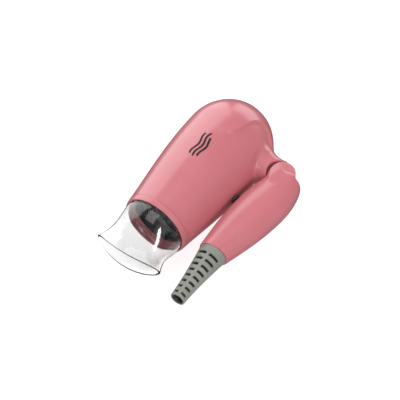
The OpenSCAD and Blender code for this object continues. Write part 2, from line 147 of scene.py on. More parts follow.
def setSky():
    # The room is brightest on the side that the big window-like light comes from.
    world = bpy.data.worlds.new("softWorld")
    world.use_nodes = True
    tree = world.node_tree
    towards = Vector(studio["skyTowards"]).normalized()
    facing = addNode(tree, "ShaderNodeVectorMath", {
        0: addNode(tree, "ShaderNodeTexCoord").outputs["Generated"], 1: towards}, operation="DOT_PRODUCT")
    fall = addRange(tree, facing.outputs["Value"], studio["skyFrom"], studio["skyTo"], studio["skyDark"],
                    studio["skyBright"])
    # Seen directly, the room is a plain pale backdrop.
    direct = addNode(tree, "ShaderNodeLightPath").outputs["Is Camera Ray"]
    tree.links.new(addMath(tree, "MAXIMUM", fall, direct), tree.nodes["Background"].inputs["Strength"])
    scene.world = world


def addFloor():
    floor = bpy.data.meshes.new("floor")
    half = studio["floorHalf"]
    floor.from_pydata([(-half, -half, 0), (half, -half, 0), (half, half, 0), (-half, half, 0)], [],
                      [(0, 1, 2, 3)])
    obj = addObject("floor", floor)
    paper = bpy.data.materials.new("studioPaper")
    paper.use_nodes = True
    look = {"Base Color": (*studio["floorColour"], 1), "Roughness": 0.9, "Specular IOR Level": 0.1,
            "Emission Color": (1, 1, 1, 1), "Emission Strength": studio["floorGlow"]}
    for label, value in look.items():
        paper.node_tree.nodes["Principled BSDF"].inputs[label].default_value = value
    floor.materials.append(paper)
    obj.visible_glossy = False


setCamera()
setSky()
for lightName, row in lights.items():
    addSoftbox(lightName, *row)
addFloor()
scene.view_settings.view_transform = "Standard"
print("camera and studio set")


# Shader groups.
def newGroup(name, inputs, outputs):
    # Each input has its value, which is a tuple for a colour; outputs are plain labels.
    group = bpy.data.node_groups.new(name, "ShaderNodeTree")
    for label, value in inputs.items():
        kind = "NodeSocketColor" if isinstance(value, tuple) else "NodeSocketFloat"
        group.interface.new_socket(name=label, in_out="INPUT", socket_type=kind).default_value = value
    for label in outputs:
        kind = "NodeSocketColor" if label == "Colour" else "NodeSocketFloat"
        group.interface.new_socket(name=label, in_out="OUTPUT", socket_type=kind)
    return group, group.nodes.new("NodeGroupInput"), group.nodes.new("NodeGroupOutput")


# Moulded skin: cloudy tone, fine grain and hairline scuffs that change the gloss.
def makeMouldedSkin():
    group, source, result = newGroup("mouldedSkin", {
        "Tone": (0.8, 0.8, 0.8, 1), "Deep Tone": (0.7, 0.7, 0.7, 1), "Grain Scale": 900.0, "Gloss": 0.2,
        "Scuff": 0.1}, ("Colour", "Roughness", "Height"))
    coords = group.nodes.new("ShaderNodeTexCoord").outputs["Object"]
    cloud = addRange(group, addNoise(group, coords, 38.0, 3.0), 0.3, 0.7, 0.0, 1.0)
    group.links.new(addMix(group, cloud, source.outputs["Tone"], source.outputs["Deep Tone"]),
                    result.inputs["Colour"])
    stretch = addNode(group, "ShaderNodeMapping", {
        "Vector": coords, "Scale": (60, 900, 260), "Rotation": (0.3, 0.5, 0.7)})
    hairlines = addRange(group, addNoise(group, stretch.outputs["Vector"], 1.0, 4.0), 0.6, 0.72, 0.0, 1.0)
    smudge = addRange(group, addNoise(group, coords, 55.0, 4.0), 0.35, 0.75, 0.0, 1.0)
    marks = addMath(group, "ADD", addMath(group, "MULTIPLY", hairlines, 0.5), smudge)
    worn = addMath(group, "MULTIPLY", marks, source.outputs["Scuff"])
    group.links.new(addMath(group, "ADD", source.outputs["Gloss"], worn), result.inputs["Roughness"])
    fine = addNoise(group, coords, source.outputs["Grain Scale"], 2.0)
    group.links.new(addMath(group, "ADD", fine, addMath(group, "MULTIPLY", hairlines, -0.1)),
                    result.inputs["Height"])
    return group


# Worn edges: a mask that picks out convex corners, broken up by noise.
def makeEdgeWear():
    group, source, result = newGroup("edgeWear", {"Amount": 0.5, "Breakup Scale": 400.0}, ("Mask",))
    geometry = group.nodes.new("ShaderNodeNewGeometry")
    coords = group.nodes.new("ShaderNodeTexCoord").outputs["Object"]
    corner = addRange(group, geometry.outputs["Pointiness"], 0.56, 0.66, 0.0, 1.0)
    patches = addNoise(group, coords, source.outputs["Breakup Scale"], 3.0)
    broken = addRange(group, patches, 0.35, 0.65, 0.2, 1.0)
    mask = addMath(group, "MULTIPLY", addMath(group, "MULTIPLY", corner, broken), source.outputs["Amount"])
    group.links.new(mask, result.inputs["Mask"])
    return group


# Settled dust: a soft mask on faces that look up, thicker in patches.
def makeDust():
    group, source, result = newGroup("settledDust", {"Amount": 0.1}, ("Mask",))
    geometry = group.nodes.new("ShaderNodeNewGeometry")
    coords = group.nodes.new("ShaderNodeTexCoord").outputs["Object"]
    apart = addNode(group, "ShaderNodeSeparateXYZ", {0: geometry.outputs["Normal"]})
    facing = addRange(group, apart.outputs["Z"], 0.2, 1.0, 0.0, 1.0)
    patches = addRange(group, addNoise(group, coords, 160.0, 6.0, 0.7), 0.45, 0.75, 0.0, 1.0)
    mask = addMath(group, "MULTIPLY", addMath(group, "MULTIPLY", facing, patches), source.outputs["Amount"])
    group.links.new(mask, result.inputs["Mask"])
    return group


groups = {"skin": makeMouldedSkin(), "wear": makeEdgeWear(), "dust": makeDust()}

# A finish is this plain one with what its row changes: tones, worn edge, gloss and its scuffing,
# the grain's scale and height, shares of wear and dust, and the shader's own settings.
plain = dict(gloss=0.4, scuff=0.12, grain=1600.0, bump=0.00004, wear=0.3, dust=0.1, shader={})
finishes = {
    "casing": dict(
        tone=(0.64, 0.192, 0.222), deep=(0.615, 0.184, 0.213), edge=(0.8, 0.42, 0.45), gloss=0.32,
        scuff=0.025, grain=420.0, bump=0.000008, wear=0.12, dust=0.01,
        shader={"Coat Weight": 0.7, "Coat Roughness": 0.19, "IOR": 1.5}),
    "grille": dict(
        tone=(0.026, 0.028, 0.029), deep=(0.016, 0.018, 0.019), edge=(0.12, 0.13, 0.13), gloss=0.3,
        scuff=0.15, grain=1500.0, wear=0.5),
    # The relief's sunk colour is painted shade, darkest at the slot floors.
    "relief_rubber": dict(
        tone=(0.29, 0.3, 0.265), deep=(0.25, 0.26, 0.23), edge=(0.47, 0.48, 0.44), gloss=0.5, scuff=0.16,
        grain=1400.0, bump=0.00007, wear=0.5, dust=0.08, sunk=(0.035, 0.04, 0.03)),
    "filter_mesh": dict(
        tone=(0.2, 0.2, 0.2), deep=(0.12, 0.12, 0.12), edge=(0.3, 0.3, 0.3), gloss=0.5, scuff=0.1,
        grain=2500.0, bump=0.0001, dust=0.3),
    "mica": dict(
        tone=(0.55, 0.45, 0.28), deep=(0.4, 0.31, 0.19), edge=(0.7, 0.62, 0.45), gloss=0.3, scuff=0.25,
        grain=700.0, bump=0.00005, wear=0.5, shader={"Coat Weight": 0.3}),
    "coil_wire": dict(
        tone=(0.42, 0.38, 0.35), deep=(0.24, 0.18, 0.16), edge=(0.6, 0.55, 0.5), gloss=0.38, scuff=0.2,
        grain=2500.0, bump=0.00003, wear=0.4, dust=0.0, shader={"Metallic": 1.0}),
    "brass_fittings": dict(
        tone=(0.78, 0.55, 0.24), deep=(0.62, 0.42, 0.17), edge=(0.9, 0.72, 0.4), gloss=0.28, scuff=0.2,
        grain=1800.0, bump=0.00003, wear=0.6, dust=0.05, shader={"Metallic": 1.0}),
    "control_ceramic": dict(
        tone=(0.72, 0.67, 0.55), deep=(0.6, 0.54, 0.43), edge=(0.85, 0.82, 0.75), gloss=0.5, scuff=0.15,
        bump=0.00005),
    "steel": dict(
        tone=(0.62, 0.62, 0.63), deep=(0.5, 0.5, 0.51), edge=(0.8, 0.8, 0.8), gloss=0.26, scuff=0.2,
        grain=2200.0, bump=0.00002, wear=0.6, dust=0.05, shader={"Metallic": 1.0}),
    "circuit_board": dict(
        tone=(0.03, 0.16, 0.06), deep=(0.02, 0.11, 0.04), edge=(0.3, 0.35, 0.2), gloss=0.3, scuff=0.1,
        grain=1300.0, bump=0.00003, wear=0.4, shader={"Coat Weight": 0.4}),
    "component_black": dict(
        tone=(0.02, 0.02, 0.022), deep=(0.013, 0.013, 0.014), edge=(0.1, 0.1, 0.1), scuff=0.1,
        grain=1800.0),
    "inner_plastic": dict(
        tone=(0.72, 0.7, 0.64), deep=(0.64, 0.62, 0.56), edge=(0.82, 0.81, 0.77), gloss=0.35, scuff=0.14,
        grain=1100.0, dust=0.15),
    "sleeve_rubber": dict(
        tone=(0.05, 0.05, 0.05), deep=(0.03, 0.03, 0.03), edge=(0.12, 0.12, 0.12), gloss=0.6, grain=1500.0,
        bump=0.00006, dust=0.2),
    "wire_red": dict(
        tone=(0.55, 0.03, 0.025), deep=(0.42, 0.02, 0.02), edge=(0.7, 0.15, 0.12), gloss=0.35, bump=0.00003,
        wear=0.2),
    "switch_black": dict(
        tone=(0.028, 0.028, 0.03), deep=(0.018, 0.018, 0.02), edge=(0.14, 0.14, 0.14), gloss=0.42,
        scuff=0.14, grain=1700.0, bump=0.00005, wear=0.5),
    "markInk": dict(
        tone=(0.01, 0.008, 0.009), deep=(0.016, 0.013, 0.014), edge=(0.05, 0.04, 0.04), gloss=0.55,
        grain=2600.0, bump=0.00002, wear=0.2, dust=0.02),
    "clear_plastic": dict(
        tone=(0.965, 0.97, 0.968), deep=(0.945, 0.95, 0.948), edge=(0.965, 0.97, 0.968), gloss=0.015,
        scuff=0.03, grain=160.0, wear=0.0, dust=0.0, shader={"Transmission Weight": 1.0, "IOR": 1.49}),
}


def placeGroup(tree, group, values):
    return addNode(tree, "ShaderNodeGroup", values, node_tree=groups[group])


dustTone = (0.75, 0.72, 0.70)


def makeFinish(name):
    spec = {**plain, **finishes[name]}
    material = bpy.data.materials.new(name)
    material.use_nodes = True
    tree = material.node_tree
    shader = tree.nodes["Principled BSDF"]
    for label, value in spec["shader"].items():
        shader.inputs[label].default_value = value
    skin = placeGroup(tree, "skin", {"Tone": (*spec["tone"], 1), "Deep Tone": (*spec["deep"], 1),
                                     "Grain Scale": spec["grain"], "Gloss": spec["gloss"],
                                     "Scuff": spec["scuff"]})
    wear = placeGroup(tree, "wear", {"Amount": spec["wear"]})
    dust = placeGroup(tree, "dust", {"Amount": spec["dust"]})
    worn = addMix(tree, wear.outputs["Mask"], skin.outputs["Colour"], spec["edge"])
    dusty = addMix(tree, dust.outputs["Mask"], worn, dustTone)
    # The sunk colour is painted shade, laid where the sunk mask says a point lies deep in a recess.
    if "sunk" in spec:
        depth = addNode(tree, "ShaderNodeAttribute", attribute_name="sunk")
        dusty = addMix(tree, depth.outputs["Fac"], dusty, spec["sunk"])
    tree.links.new(dusty, shader.inputs["Base Color"])
    tree.links.new(addMath(tree, "ADD", skin.outputs["Roughness"], dust.outputs["Mask"]),
                   shader.inputs["Roughness"])
    bump = addNode(tree, "ShaderNodeBump", {"Distance": spec["bump"], "Height": skin.outputs["Height"]})
    tree.links.new(bump.outputs["Normal"], shader.inputs["Normal"])
    return material


materials = {name: makeFinish(name) for name in finishes}
print("finishes made:", len(materials))


# Shaping helpers.
def softMin(first, second, reach):
    near = np.maximum(reach - np.abs(first - second), 0) / reach
    return np.minimum(first, second) - near ** 3 * reach / 6


def softMax(first, second, reach):
    return -softMin(-first, -second, reach)


def smoothStep(low, high, value):
    t = np.clip((value - low) / (high - low), 0, 1)
    return t * t * (3 - 2 * t)


def roundedOval(u, v, halfU, halfV, power):
    # Signed distance, near enough, to a superellipse.
    u, v = np.abs(u) / halfU + 1e-6, np.abs(v) / halfV + 1e-6
    size = (u ** power + v ** power) ** (1 / power)
    slope = size ** (1 - power) * np.hypot(u ** (power - 1) / halfU, v ** (power - 1) / halfV)
    return (size - 1) / slope


def fieldSlope(field, points, reach=0.02):
    slope = np.empty_like(points)
    for axis in range(3):
        shift = np.zeros(3)
        shift[axis] = reach
        slope[:, axis] = (field(*(points + shift).T) - field(*(points - shift).T)) / (2 * reach)
    return slope


def settle(field, points, limit, rounds):
    for _ in range(rounds):
        slope = fieldSlope(field, points)
        step = slope * (field(*points.T) / np.maximum((slope ** 2).sum(1), 0.05))[:, None]
        size = np.linalg.norm(step, axis=1, keepdims=True)
        points = points - step * np.minimum(1, limit / np.maximum(size, 1e-9))
    return points


# Turns the zero surface of a field into an even mesh of four-sided faces.
def meshField(field, low, high, step, relax=3):
    axes = [np.arange(low[i], high[i] + step, step) for i in range(3)]
    values = field(*np.meshgrid(*axes, indexing="ij"))
    shape = np.array(values.shape)
    stride = np.array([shape[1] * shape[2], shape[2], 1])
    inside = values < 0
    cells, places, corners = [], [], []
    for axis in range(3):
        near = [slice(None)] * 3
        far = [slice(None)] * 3
        near[axis], far[axis] = slice(0, -1), slice(1, None)
        at = np.argwhere(inside[tuple(near)] != inside[tuple(far)])
        u, v = (axis + 1) % 3, (axis + 2) % 3
        fits = (at[:, u] > 0) & (at[:, v] > 0) & (at[:, u] < shape[u] - 1) & (at[:, v] < shape[v] - 1)
        at = at[fits]
        ahead = at.copy()
        ahead[:, axis] += 1
        first, second = values[tuple(at.T)], values[tuple(ahead.T)]
        place = at.astype(float)
        place[:, axis] += first / (first - second)
        ring = []
        for du, dv in ((-1, -1), (0, -1), (0, 0), (-1, 0)):
            cell = at.copy()
            cell[:, u] += du
            cell[:, v] += dv
            ring.append((cell * stride).sum(1))
            cells.append(ring[-1])
            places.append(place)
        ring = np.stack(ring, 1)
        corners.append(np.where((first < 0)[:, None], ring, ring[:, ::-1]))
    cells, places, corners = np.concatenate(cells), np.concatenate(places), np.concatenate(corners)
    names, index = np.unique(cells, return_inverse=True)
    index = index.ravel()
    tally = np.bincount(index)
    points = np.stack([np.bincount(index, places[:, i]) / tally for i in range(3)], 1)
    points = points * step + np.array(low)
    faces = np.searchsorted(names, corners)
    points = settle(field, points, step, 3)
    ends = np.concatenate([faces[:, [i, (i + 1) % 4]] for i in range(4)])
    ends = np.concatenate([ends, ends[:, ::-1]])
    degree = np.maximum(np.bincount(ends[:, 0], minlength=len(points)), 1)
    for _ in range(relax):
        middle = np.stack([np.bincount(ends[:, 0], points[ends[:, 1], i], len(points)) / degree
                           for i in range(3)], 1)
        points = settle(field, points * 0.4 + middle * 0.6, step * 0.5, 2)
    return points, faces


def toMesh(name, points, faces):
    mesh = bpy.data.meshes.new(name)
    mesh.from_pydata([tuple(p) for p in points], [], [tuple(f) for f in faces])
    return mesh


def opened(mesh):
    bm = bmesh.new()
    bm.from_mesh(mesh)
    return bm


def stored(bm, mesh):
    bm.to_mesh(mesh)
    bm.free()


def keepSide(mesh, place, normal):
    # Cuts the mesh with a plane and keeps the side that the normal points to.
    bm = opened(mesh)
    bmesh.ops.bisect_plane(bm, geom=bm.verts[:] + bm.edges[:] + bm.faces[:], dist=1e-5, plane_co=place,
                           plane_no=normal, clear_inner=True)
    stored(bm, mesh)


def applied(obj):
    # The object's evaluated shape as a plain mesh, with its modifiers gone.
    graph = bpy.context.evaluated_depsgraph_get()
    mesh = bpy.data.meshes.new_from_object(obj.evaluated_get(graph))
    obj.modifiers.clear()
    obj.data = mesh
    return mesh


def meshHalf(field, side, low, high, step):
    # The box is the left-hand half's, and is mirrored for the right-hand half.
    if side < 0:
        low, high = (low[0], low[1], -high[2]), (high[0], high[1], -low[2])
    return meshField(field, low, high, step)


def addPiece(name, mesh, body, finish, replaced=(), sharp=38, thickness=0, place=True):
    if place:
        mesh.transform(Matrix.Translation(start) @ Matrix.Scale(mm, 4))
    obj = addObject(name, mesh)
    if thickness:
        wall = obj.modifiers.new("wall", "SOLIDIFY")
        wall.thickness = thickness * mm
        wall.offset = -1
        wall.use_even_offset = False
        mesh = applied(obj)
    mesh.materials.clear()
    mesh.materials.append(materials[finish])
    mesh.shade_smooth()
    mesh.set_sharp_from_angle(angle=math.radians(sharp))
    obj.data.update()
    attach(obj, body)
    if replaced:
        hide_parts(*replaced)
    print("piece", name, len(mesh.polygons), "faces")


def addHalf(mesh, side, body, wall):
    ending = "left" if side > 0 else "right"
    addPiece(body + "Shell" + ending.capitalize(), mesh, body, "casing",
             (body + "_shell_" + ending,), thickness=wall)


# Barrel.
barrel = {
    "frontR": 29.95, "bellyR": 38.1, "bellyA": 90, "domeA": 95, "length": 136, "inletR": 20.5,
    "wall": 2.2, "swell": 1.12, "seam": 0.14, "step": 0.76,
}
neck = {
    "front": 81.9, "rear": 107.4, "halfThick": 14.0, "power": 2.5, "edge": 2.2, "root": 20,
    "leanFrom": 46, "leanOver": 16, "frontLean": 2.6, "rearLean": 1.2,
    # the bottom is cut along two lines: how far out each starts and how steeply it leans
    "noseA": 82.6, "noseOut": 48.6, "noseRise": 0.551, "lipOut": 54.2, "lipRise": 0.127,
    "blend": 17, "frontBlend": 7, "blendFrom": 86, "blendTo": 102,
    "pocketR": 12.2, "pocketShift": 0.5, "pocketFloor": 5.5, "pocketEdge": 1.2, "tongueR": 10,
}
crest = {
    # distance back and angle round from the handle's side, in degrees
    "route": ((78, 112), (82.4, 94), (87, 78), (95.9, 70), (106, 66), (114.6, 58.2), (119.4, 42),
              (117.2, 25.5), (109, 7)),
    "depth": 2.0, "width": 3.6, "recover": 34, "bead": 0.2,
}


def barrelRadius(a):
    grow = np.sin(np.clip(a, 0, barrel["bellyA"]) / barrel["bellyA"] * math.pi / 2) ** barrel["swell"]
    return barrel["frontR"] + (barrel["bellyR"] - barrel["frontR"]) * grow


def barrelBody(x, y, z):
    rho = np.hypot(y, z)
    side = rho - barrelRadius(x)
    longR, wideR = barrel["length"] - barrel["domeA"], barrel["bellyR"]
    back = np.maximum(x - barrel["domeA"], 0)
    size = np.hypot(back / longR, rho / wideR)
    dome = size * (size - 1) / np.maximum(np.hypot(back / longR ** 2, rho / wideR ** 2), 1e-6)
    return np.where(x > barrel["domeA"], dome, side)


def neckBody(x, y, z):
    p = -y
    lean = np.clip((neck["leanFrom"] - p) / neck["leanOver"], 0, 2) ** 2
    front, rear = neck["front"] + neck["frontLean"] * lean, neck["rear"] + neck["rearLean"] * lean
    column = roundedOval(x - (front + rear) / 2, z, (rear - front) / 2, neck["halfThick"], neck["power"])
    # the last factor of each makes it a true distance
    nose = ((p - neck["noseOut"]) - neck["noseRise"] * (x - neck["noseA"])) * 0.876
    lip = ((p - neck["lipOut"]) - neck["lipRise"] * (x - hinge.x)) * 0.992
    foot = softMax(nose, lip, 2)
    return softMax(column, foot, neck["edge"])


def barrelField(x, y, z):
    wider = smoothStep(neck["blendFrom"], neck["blendTo"], x)
    reach = neck["frontBlend"] + (neck["blend"] - neck["frontBlend"]) * wider
    body = softMin(barrelBody(x, y, z), softMax(neckBody(x, y, z), neck["root"] + y, 2), reach)
    shift = neck["pocketShift"]
    away = np.hypot(x - hinge.x + shift, y - hinge.y - shift) - neck["pocketR"]
    pocket = softMax(away, neck["pocketFloor"] - np.abs(z), 0.4)
    body = softMax(body, -pocket, neck["pocketEdge"])
    tongue = np.hypot(x - hinge.x, y - hinge.y) - neck["tongueR"]
    return softMin(body, softMax(tongue, np.abs(z) - neck["pocketFloor"] + 0.2, 0.6), 0.5)


def splineThrough(points, count):
    # Catmull-Rom curve through a few points.
    points = np.array(points, float)
    padded = np.vstack([2 * points[0] - points[1], points, 2 * points[-1] - points[-2]])
    t = np.linspace(0, 1, count, endpoint=False)[:, None]
    spans = []
    for i in range(len(points) - 1):
        a, b, c, d = padded[i:i + 4]
        spans.append(0.5 * (2 * b + (c - a) * t + (2 * a - 5 * b + 4 * c - d) * t ** 2
                            + (3 * b - a - 3 * c + d) * t ** 3))
    return np.vstack(spans + [points[-1:]])


def crestDepth(points):
    # How far each point of the barrel's skin sinks below it, beside the crest.
    around = math.radians(1) * 37
    angle = np.degrees(np.arctan2(np.abs(points[:, 2]), -points[:, 1]))
    flat = np.stack([points[:, 0], angle * around], 1)
    route = splineThrough(crest["route"], 14) * (1, around)
    best = np.full(len(points), 1e9)
    side = np.zeros(len(points))
    for here, ahead in zip(route[:-1], route[1:]):
        run = ahead - here
        t = np.clip(((flat - here) @ run) / (run @ run), 0, 1)
        off = flat - here - t[:, None] * run
        gap = np.hypot(off[:, 0], off[:, 1])
        closer = gap < best
        best = np.where(closer, gap, best)
        side = np.where(closer, np.sign(run[0] * off[:, 1] - run[1] * off[:, 0]), side)
    into = -best * side
    fade = smoothStep(97, 60, angle) * smoothStep(3, 12, angle) * smoothStep(30, 50, points[:, 0])
    sink = crest["depth"] * smoothStep(0, crest["width"], into) * smoothStep(crest["recover"], 6, into)
    return (sink - crest["bead"] * np.exp(-(into / 1.4) ** 2)) * fade


# The screw beside the hinge, its head sunk in the right-hand half.
barrelScrew = {"place": (101.9, -42.5), "wellR": 2.9, "wellZ": -12.3, "headZ": -12.4}


def buildBarrelHalf(side):
    def field(x, y, z):
        body = barrelField(x, y, z)
        if side > 0:
            return body
        away = np.hypot(x - barrelScrew["place"][0], y - barrelScrew["place"][1]) - barrelScrew["wellR"]
        return softMax(body, -softMax(away, z - barrelScrew["wellZ"], 0.3), 0.4)

    step = barrel["step"] * 1
    reach = barrel["bellyR"] + 1.5
    low, high = (-2 * step, -71, -2 * step), (barrel["length"] + 2, reach, reach)
    points, faces = meshHalf(field, side, low, high, step)
    onBarrel = smoothStep(3.0, 0.3, np.abs(barrelBody(*points.T)))
    slope = fieldSlope(field, points)
    slope /= np.linalg.norm(slope, axis=1, keepdims=True)
    points = points - slope * (crestDepth(points) * onBarrel)[:, None]
    mesh = toMesh("barrelShell", points, faces)
    keepSide(mesh, (0, 0, 0), (0, 0, side))
    keepSide(mesh, (0, 0, 0), (1, 0, 0))
    openInlet(mesh)
    addSeam(mesh, barrel["seam"])
    addHalf(mesh, side, "barrel", barrel["wall"])


def openInlet(mesh):
    # The rear opening: everything behind the plane where the dome has the inlet's radius goes.
    fall = math.sqrt(1 - (barrel["inletR"] / barrel["bellyR"]) ** 2)
    rear = barrel["domeA"] + (barrel["length"] - barrel["domeA"]) * fall
    keepSide(mesh, (rear, 0, 0), (-1, 0, 0))


def addSeam(mesh, depth):
    # Draws the skin in along the cut at z = 0, for a fine parting line.
    bm = opened(mesh)
    bm.normal_update()
    for vert in bm.verts:
        if vert.is_boundary and abs(vert.co.z) < 1e-3:
            inward = Vector((vert.normal.x, vert.normal.y, 0))
            vert.co -= inward * depth
    stored(bm, mesh)


buildBarrelHalf(1)
buildBarrelHalf(-1)
print("barrel casing done")


# Printed mark.
# Three plain wavy strokes, printed along the side: a general sign for moving air.
airMark = {"from": 49, "to": 76, "angle": 92, "rows": 3, "rowPitch": 3.6, "waves": 1.5, "wavesOver": 26,
           "rise": 0.9, "half": 0.88, "film": 0.05, "sunk": 0.1, "shorten": 4.5, "steps": 60}


def skinPoint(a, height, lift):
    # A point on the barrel's skin, height being measured round it from the mark's middle line.
    radius = float(barrelRadius(np.array(a))) + lift
    turn = math.radians(airMark["angle"]) + height / radius
    return (a, -radius * math.cos(turn), radius * math.sin(turn))


def buildAirMark():
    points, faces = [], []
    for row in range(airMark["rows"]):
        offset = (row - (airMark["rows"] - 1) / 2) * airMark["rowPitch"]
        trim = airMark["shorten"] * abs(row - 1) * (1 if row == 0 else 0.5)
        first, last = airMark["from"] + trim * 0.4, airMark["to"] - trim
        base = len(points)
        for i in range(airMark["steps"] + 1):
            t = i / airMark["steps"]
            a = first + (last - first) * t
            phase = 2 * math.pi * airMark["waves"] * (a - airMark["from"]) / airMark["wavesOver"]
            wave = airMark["rise"] * math.sin(phase)
            end = min(a - first, last - a)
            half = airMark["half"] * math.sqrt(1 - max(0, 1 - end / airMark["half"]) ** 2) + 0.02
            for side, lift in ((-1, 0), (1, 0), (1, 1), (-1, 1)):
                height = lift * (airMark["sunk"] + airMark["film"]) - airMark["sunk"]
                points.append(skinPoint(a, offset + wave + side * half, height))
        for i in range(airMark["steps"]):
            for k in range(4):
                near, far = base + i * 4, base + i * 4 + 4
                faces.append((near + k, near + (k + 1) % 4, far + (k + 1) % 4, far + k))
        faces.append((base + 3, base + 2, base + 1, base))
        end = base + airMark["steps"] * 4
        faces.append((end, end + 1, end + 2, end + 3))
    mesh = toMesh("airMark", points, faces)
    fixNormals(mesh)
    addPiece("airMark", mesh, "barrel", "markInk", sharp=40)


# Outlet ring.
outlet = {"rimLength": 5.5, "rimR": 29.2, "socketR": 27.8, "throatR": 26.3, "depth": 9, "sides": 160}


def ringFaces(rows, columns):
    # The faces of a grid of points that closes on itself both ways.
    faces = []
    for i in range(rows):
        j = (i + 1) % rows
        for k in range(columns):
            m = (k + 1) % columns
            faces.append((i * columns + k, i * columns + m, j * columns + m, j * columns + k))
    return faces


def lathe(outline, sides):
    # A ring turned about the barrel's axis from points (distance back, radius).
    outline = np.array(outline, float)
    turn = np.linspace(0, 2 * math.pi, sides, endpoint=False)
    a = np.repeat(outline[None, :, 0], sides, 0)
    y = np.cos(turn)[:, None] * outline[None, :, 1]
    z = np.sin(turn)[:, None] * outline[None, :, 1]
    return np.stack([a, y, z], 2).reshape(-1, 3), ringFaces(sides, len(outline))


def arc(centre, radius, fromAngle, toAngle, count):
    turns = [math.radians(fromAngle + (toAngle - fromAngle) * i / count) for i in range(count + 1)]
    return [(centre[0] + radius * math.cos(t), centre[1] + radius * math.sin(t)) for t in turns]


def fixNormals(mesh):
    bm = opened(mesh)
    bmesh.ops.recalc_face_normals(bm, faces=bm.faces)
    stored(bm, mesh)


def buildOutletRing():
    tip = -outlet["rimLength"]
    lipR = (outlet["rimR"] - outlet["socketR"]) / 2
    mid = outlet["socketR"] + lipR
    spigot = barrel["frontR"] - barrel["wall"] - 0.05
    skin = barrel["frontR"] - 0.02
    outline = [(outlet["depth"], spigot), (0.35, spigot), (0.35, 29.3), (0.0, 29.75), (-0.35, skin)]
    outline += [(-0.35 - 4.4 * t, skin - 0.72 * t ** 1.6) for t in (0.25, 0.5, 0.75, 1)]
    outline += arc((tip + lipR, mid), lipR, 90, 270, 10)
    socket, throat = outlet["socketR"], outlet["throatR"]
    outline += [(-0.5, socket), (-0.25, socket - 0.25), (-0.25, throat + 0.35), (0.1, throat), (1.3, throat),
                (1.45, throat + 0.28), (1.9, throat + 0.28), (2.05, throat), (outlet["depth"], throat)]
    mesh = toMesh("outletRing", *lathe(outline, outlet["sides"]))
    fixNormals(mesh)
    addPiece("outletRing", mesh, "barrel", "casing", ("outlet_ring",), sharp=32)


buildOutletRing()
buildAirMark()
print("outlet ring and mark done")


# Geometry Nodes.
def newTree(name, values):
    # A tree with an input for each value and one for the finish.
    tree = bpy.data.node_groups.new(name, "GeometryNodeTree")
    tree.interface.new_socket(name="Geometry", in_out="INPUT", socket_type="NodeSocketGeometry")
    for label, value in values.items():
        kind = "NodeSocketInt" if isinstance(value, int) else "NodeSocketFloat"
        tree.interface.new_socket(name=label, in_out="INPUT", socket_type=kind).default_value = value
    tree.interface.new_socket(name="Finish", in_out="INPUT", socket_type="NodeSocketMaterial")
    tree.interface.new_socket(name="Geometry", in_out="OUTPUT", socket_type="NodeSocketGeometry")
    return tree, tree.nodes.new("NodeGroupInput")


def closeTree(tree, source, shape):
    # The end of a tree: instances become real and take the finish.
    real = addNode(tree, "GeometryNodeRealizeInstances", {0: shape})
    paint = addNode(tree, "GeometryNodeSetMaterial", {
        "Geometry": real.outputs[0], "Material": source.outputs["Finish"]})
    addNode(tree, "NodeGroupOutput", {0: paint.outputs[0]})
    return tree


def fromTree(name, tree, values, points=()):
    # Runs a tree on a mesh of loose points, or on none, and returns the plain result.
    seed = bpy.data.meshes.new(name)
    seed.from_pydata([tuple(p) for p in points], [], [])
    obj = addObject(name, seed)
    modifier = obj.modifiers.new("build", "NODES")
    modifier.node_group = tree
    sockets = {item.name: item.identifier for item in tree.interface.items_tree if item.in_out == "INPUT"}
    for label, value in values.items():
        modifier[sockets[label]] = value
    mesh = applied(obj)
    bpy.data.objects.remove(obj)
    bm = opened(mesh)
    bmesh.ops.remove_doubles(bm, verts=bm.verts, dist=1e-6)
    bmesh.ops.recalc_face_normals(bm, faces=bm.faces)
    stored(bm, mesh)
    return mesh


# Grilles: rings of fins on ribs, round a hub. Lengths are in metres.
frontGrille = {
    "Rings": 9, "First Radius": 0.0058, "Ring Pitch": 0.0021, "Fin Width": 0.0007, "Fin Depth": 0.0026,
    "Ribs": 8, "Rib Width": 0.0009, "Rib Depth": 0.0022, "Hub Radius": 0.0042, "Outer Radius": 0.02625,
    "Crown Radius": 10.0, "Crown Height": 0.0,
}
backGrille = {
    "Rings": 5, "First Radius": 0.0052, "Ring Pitch": 0.0029, "Fin Width": 0.0012, "Fin Depth": 0.0018,
    "Ribs": 8, "Rib Width": 0.0012, "Rib Depth": 0.0018, "Hub Radius": 0.003, "Outer Radius": 0.0202,
    "Crown Radius": barrel["bellyR"] * mm, "Crown Height": (barrel["length"] - barrel["domeA"]) * mm,
}


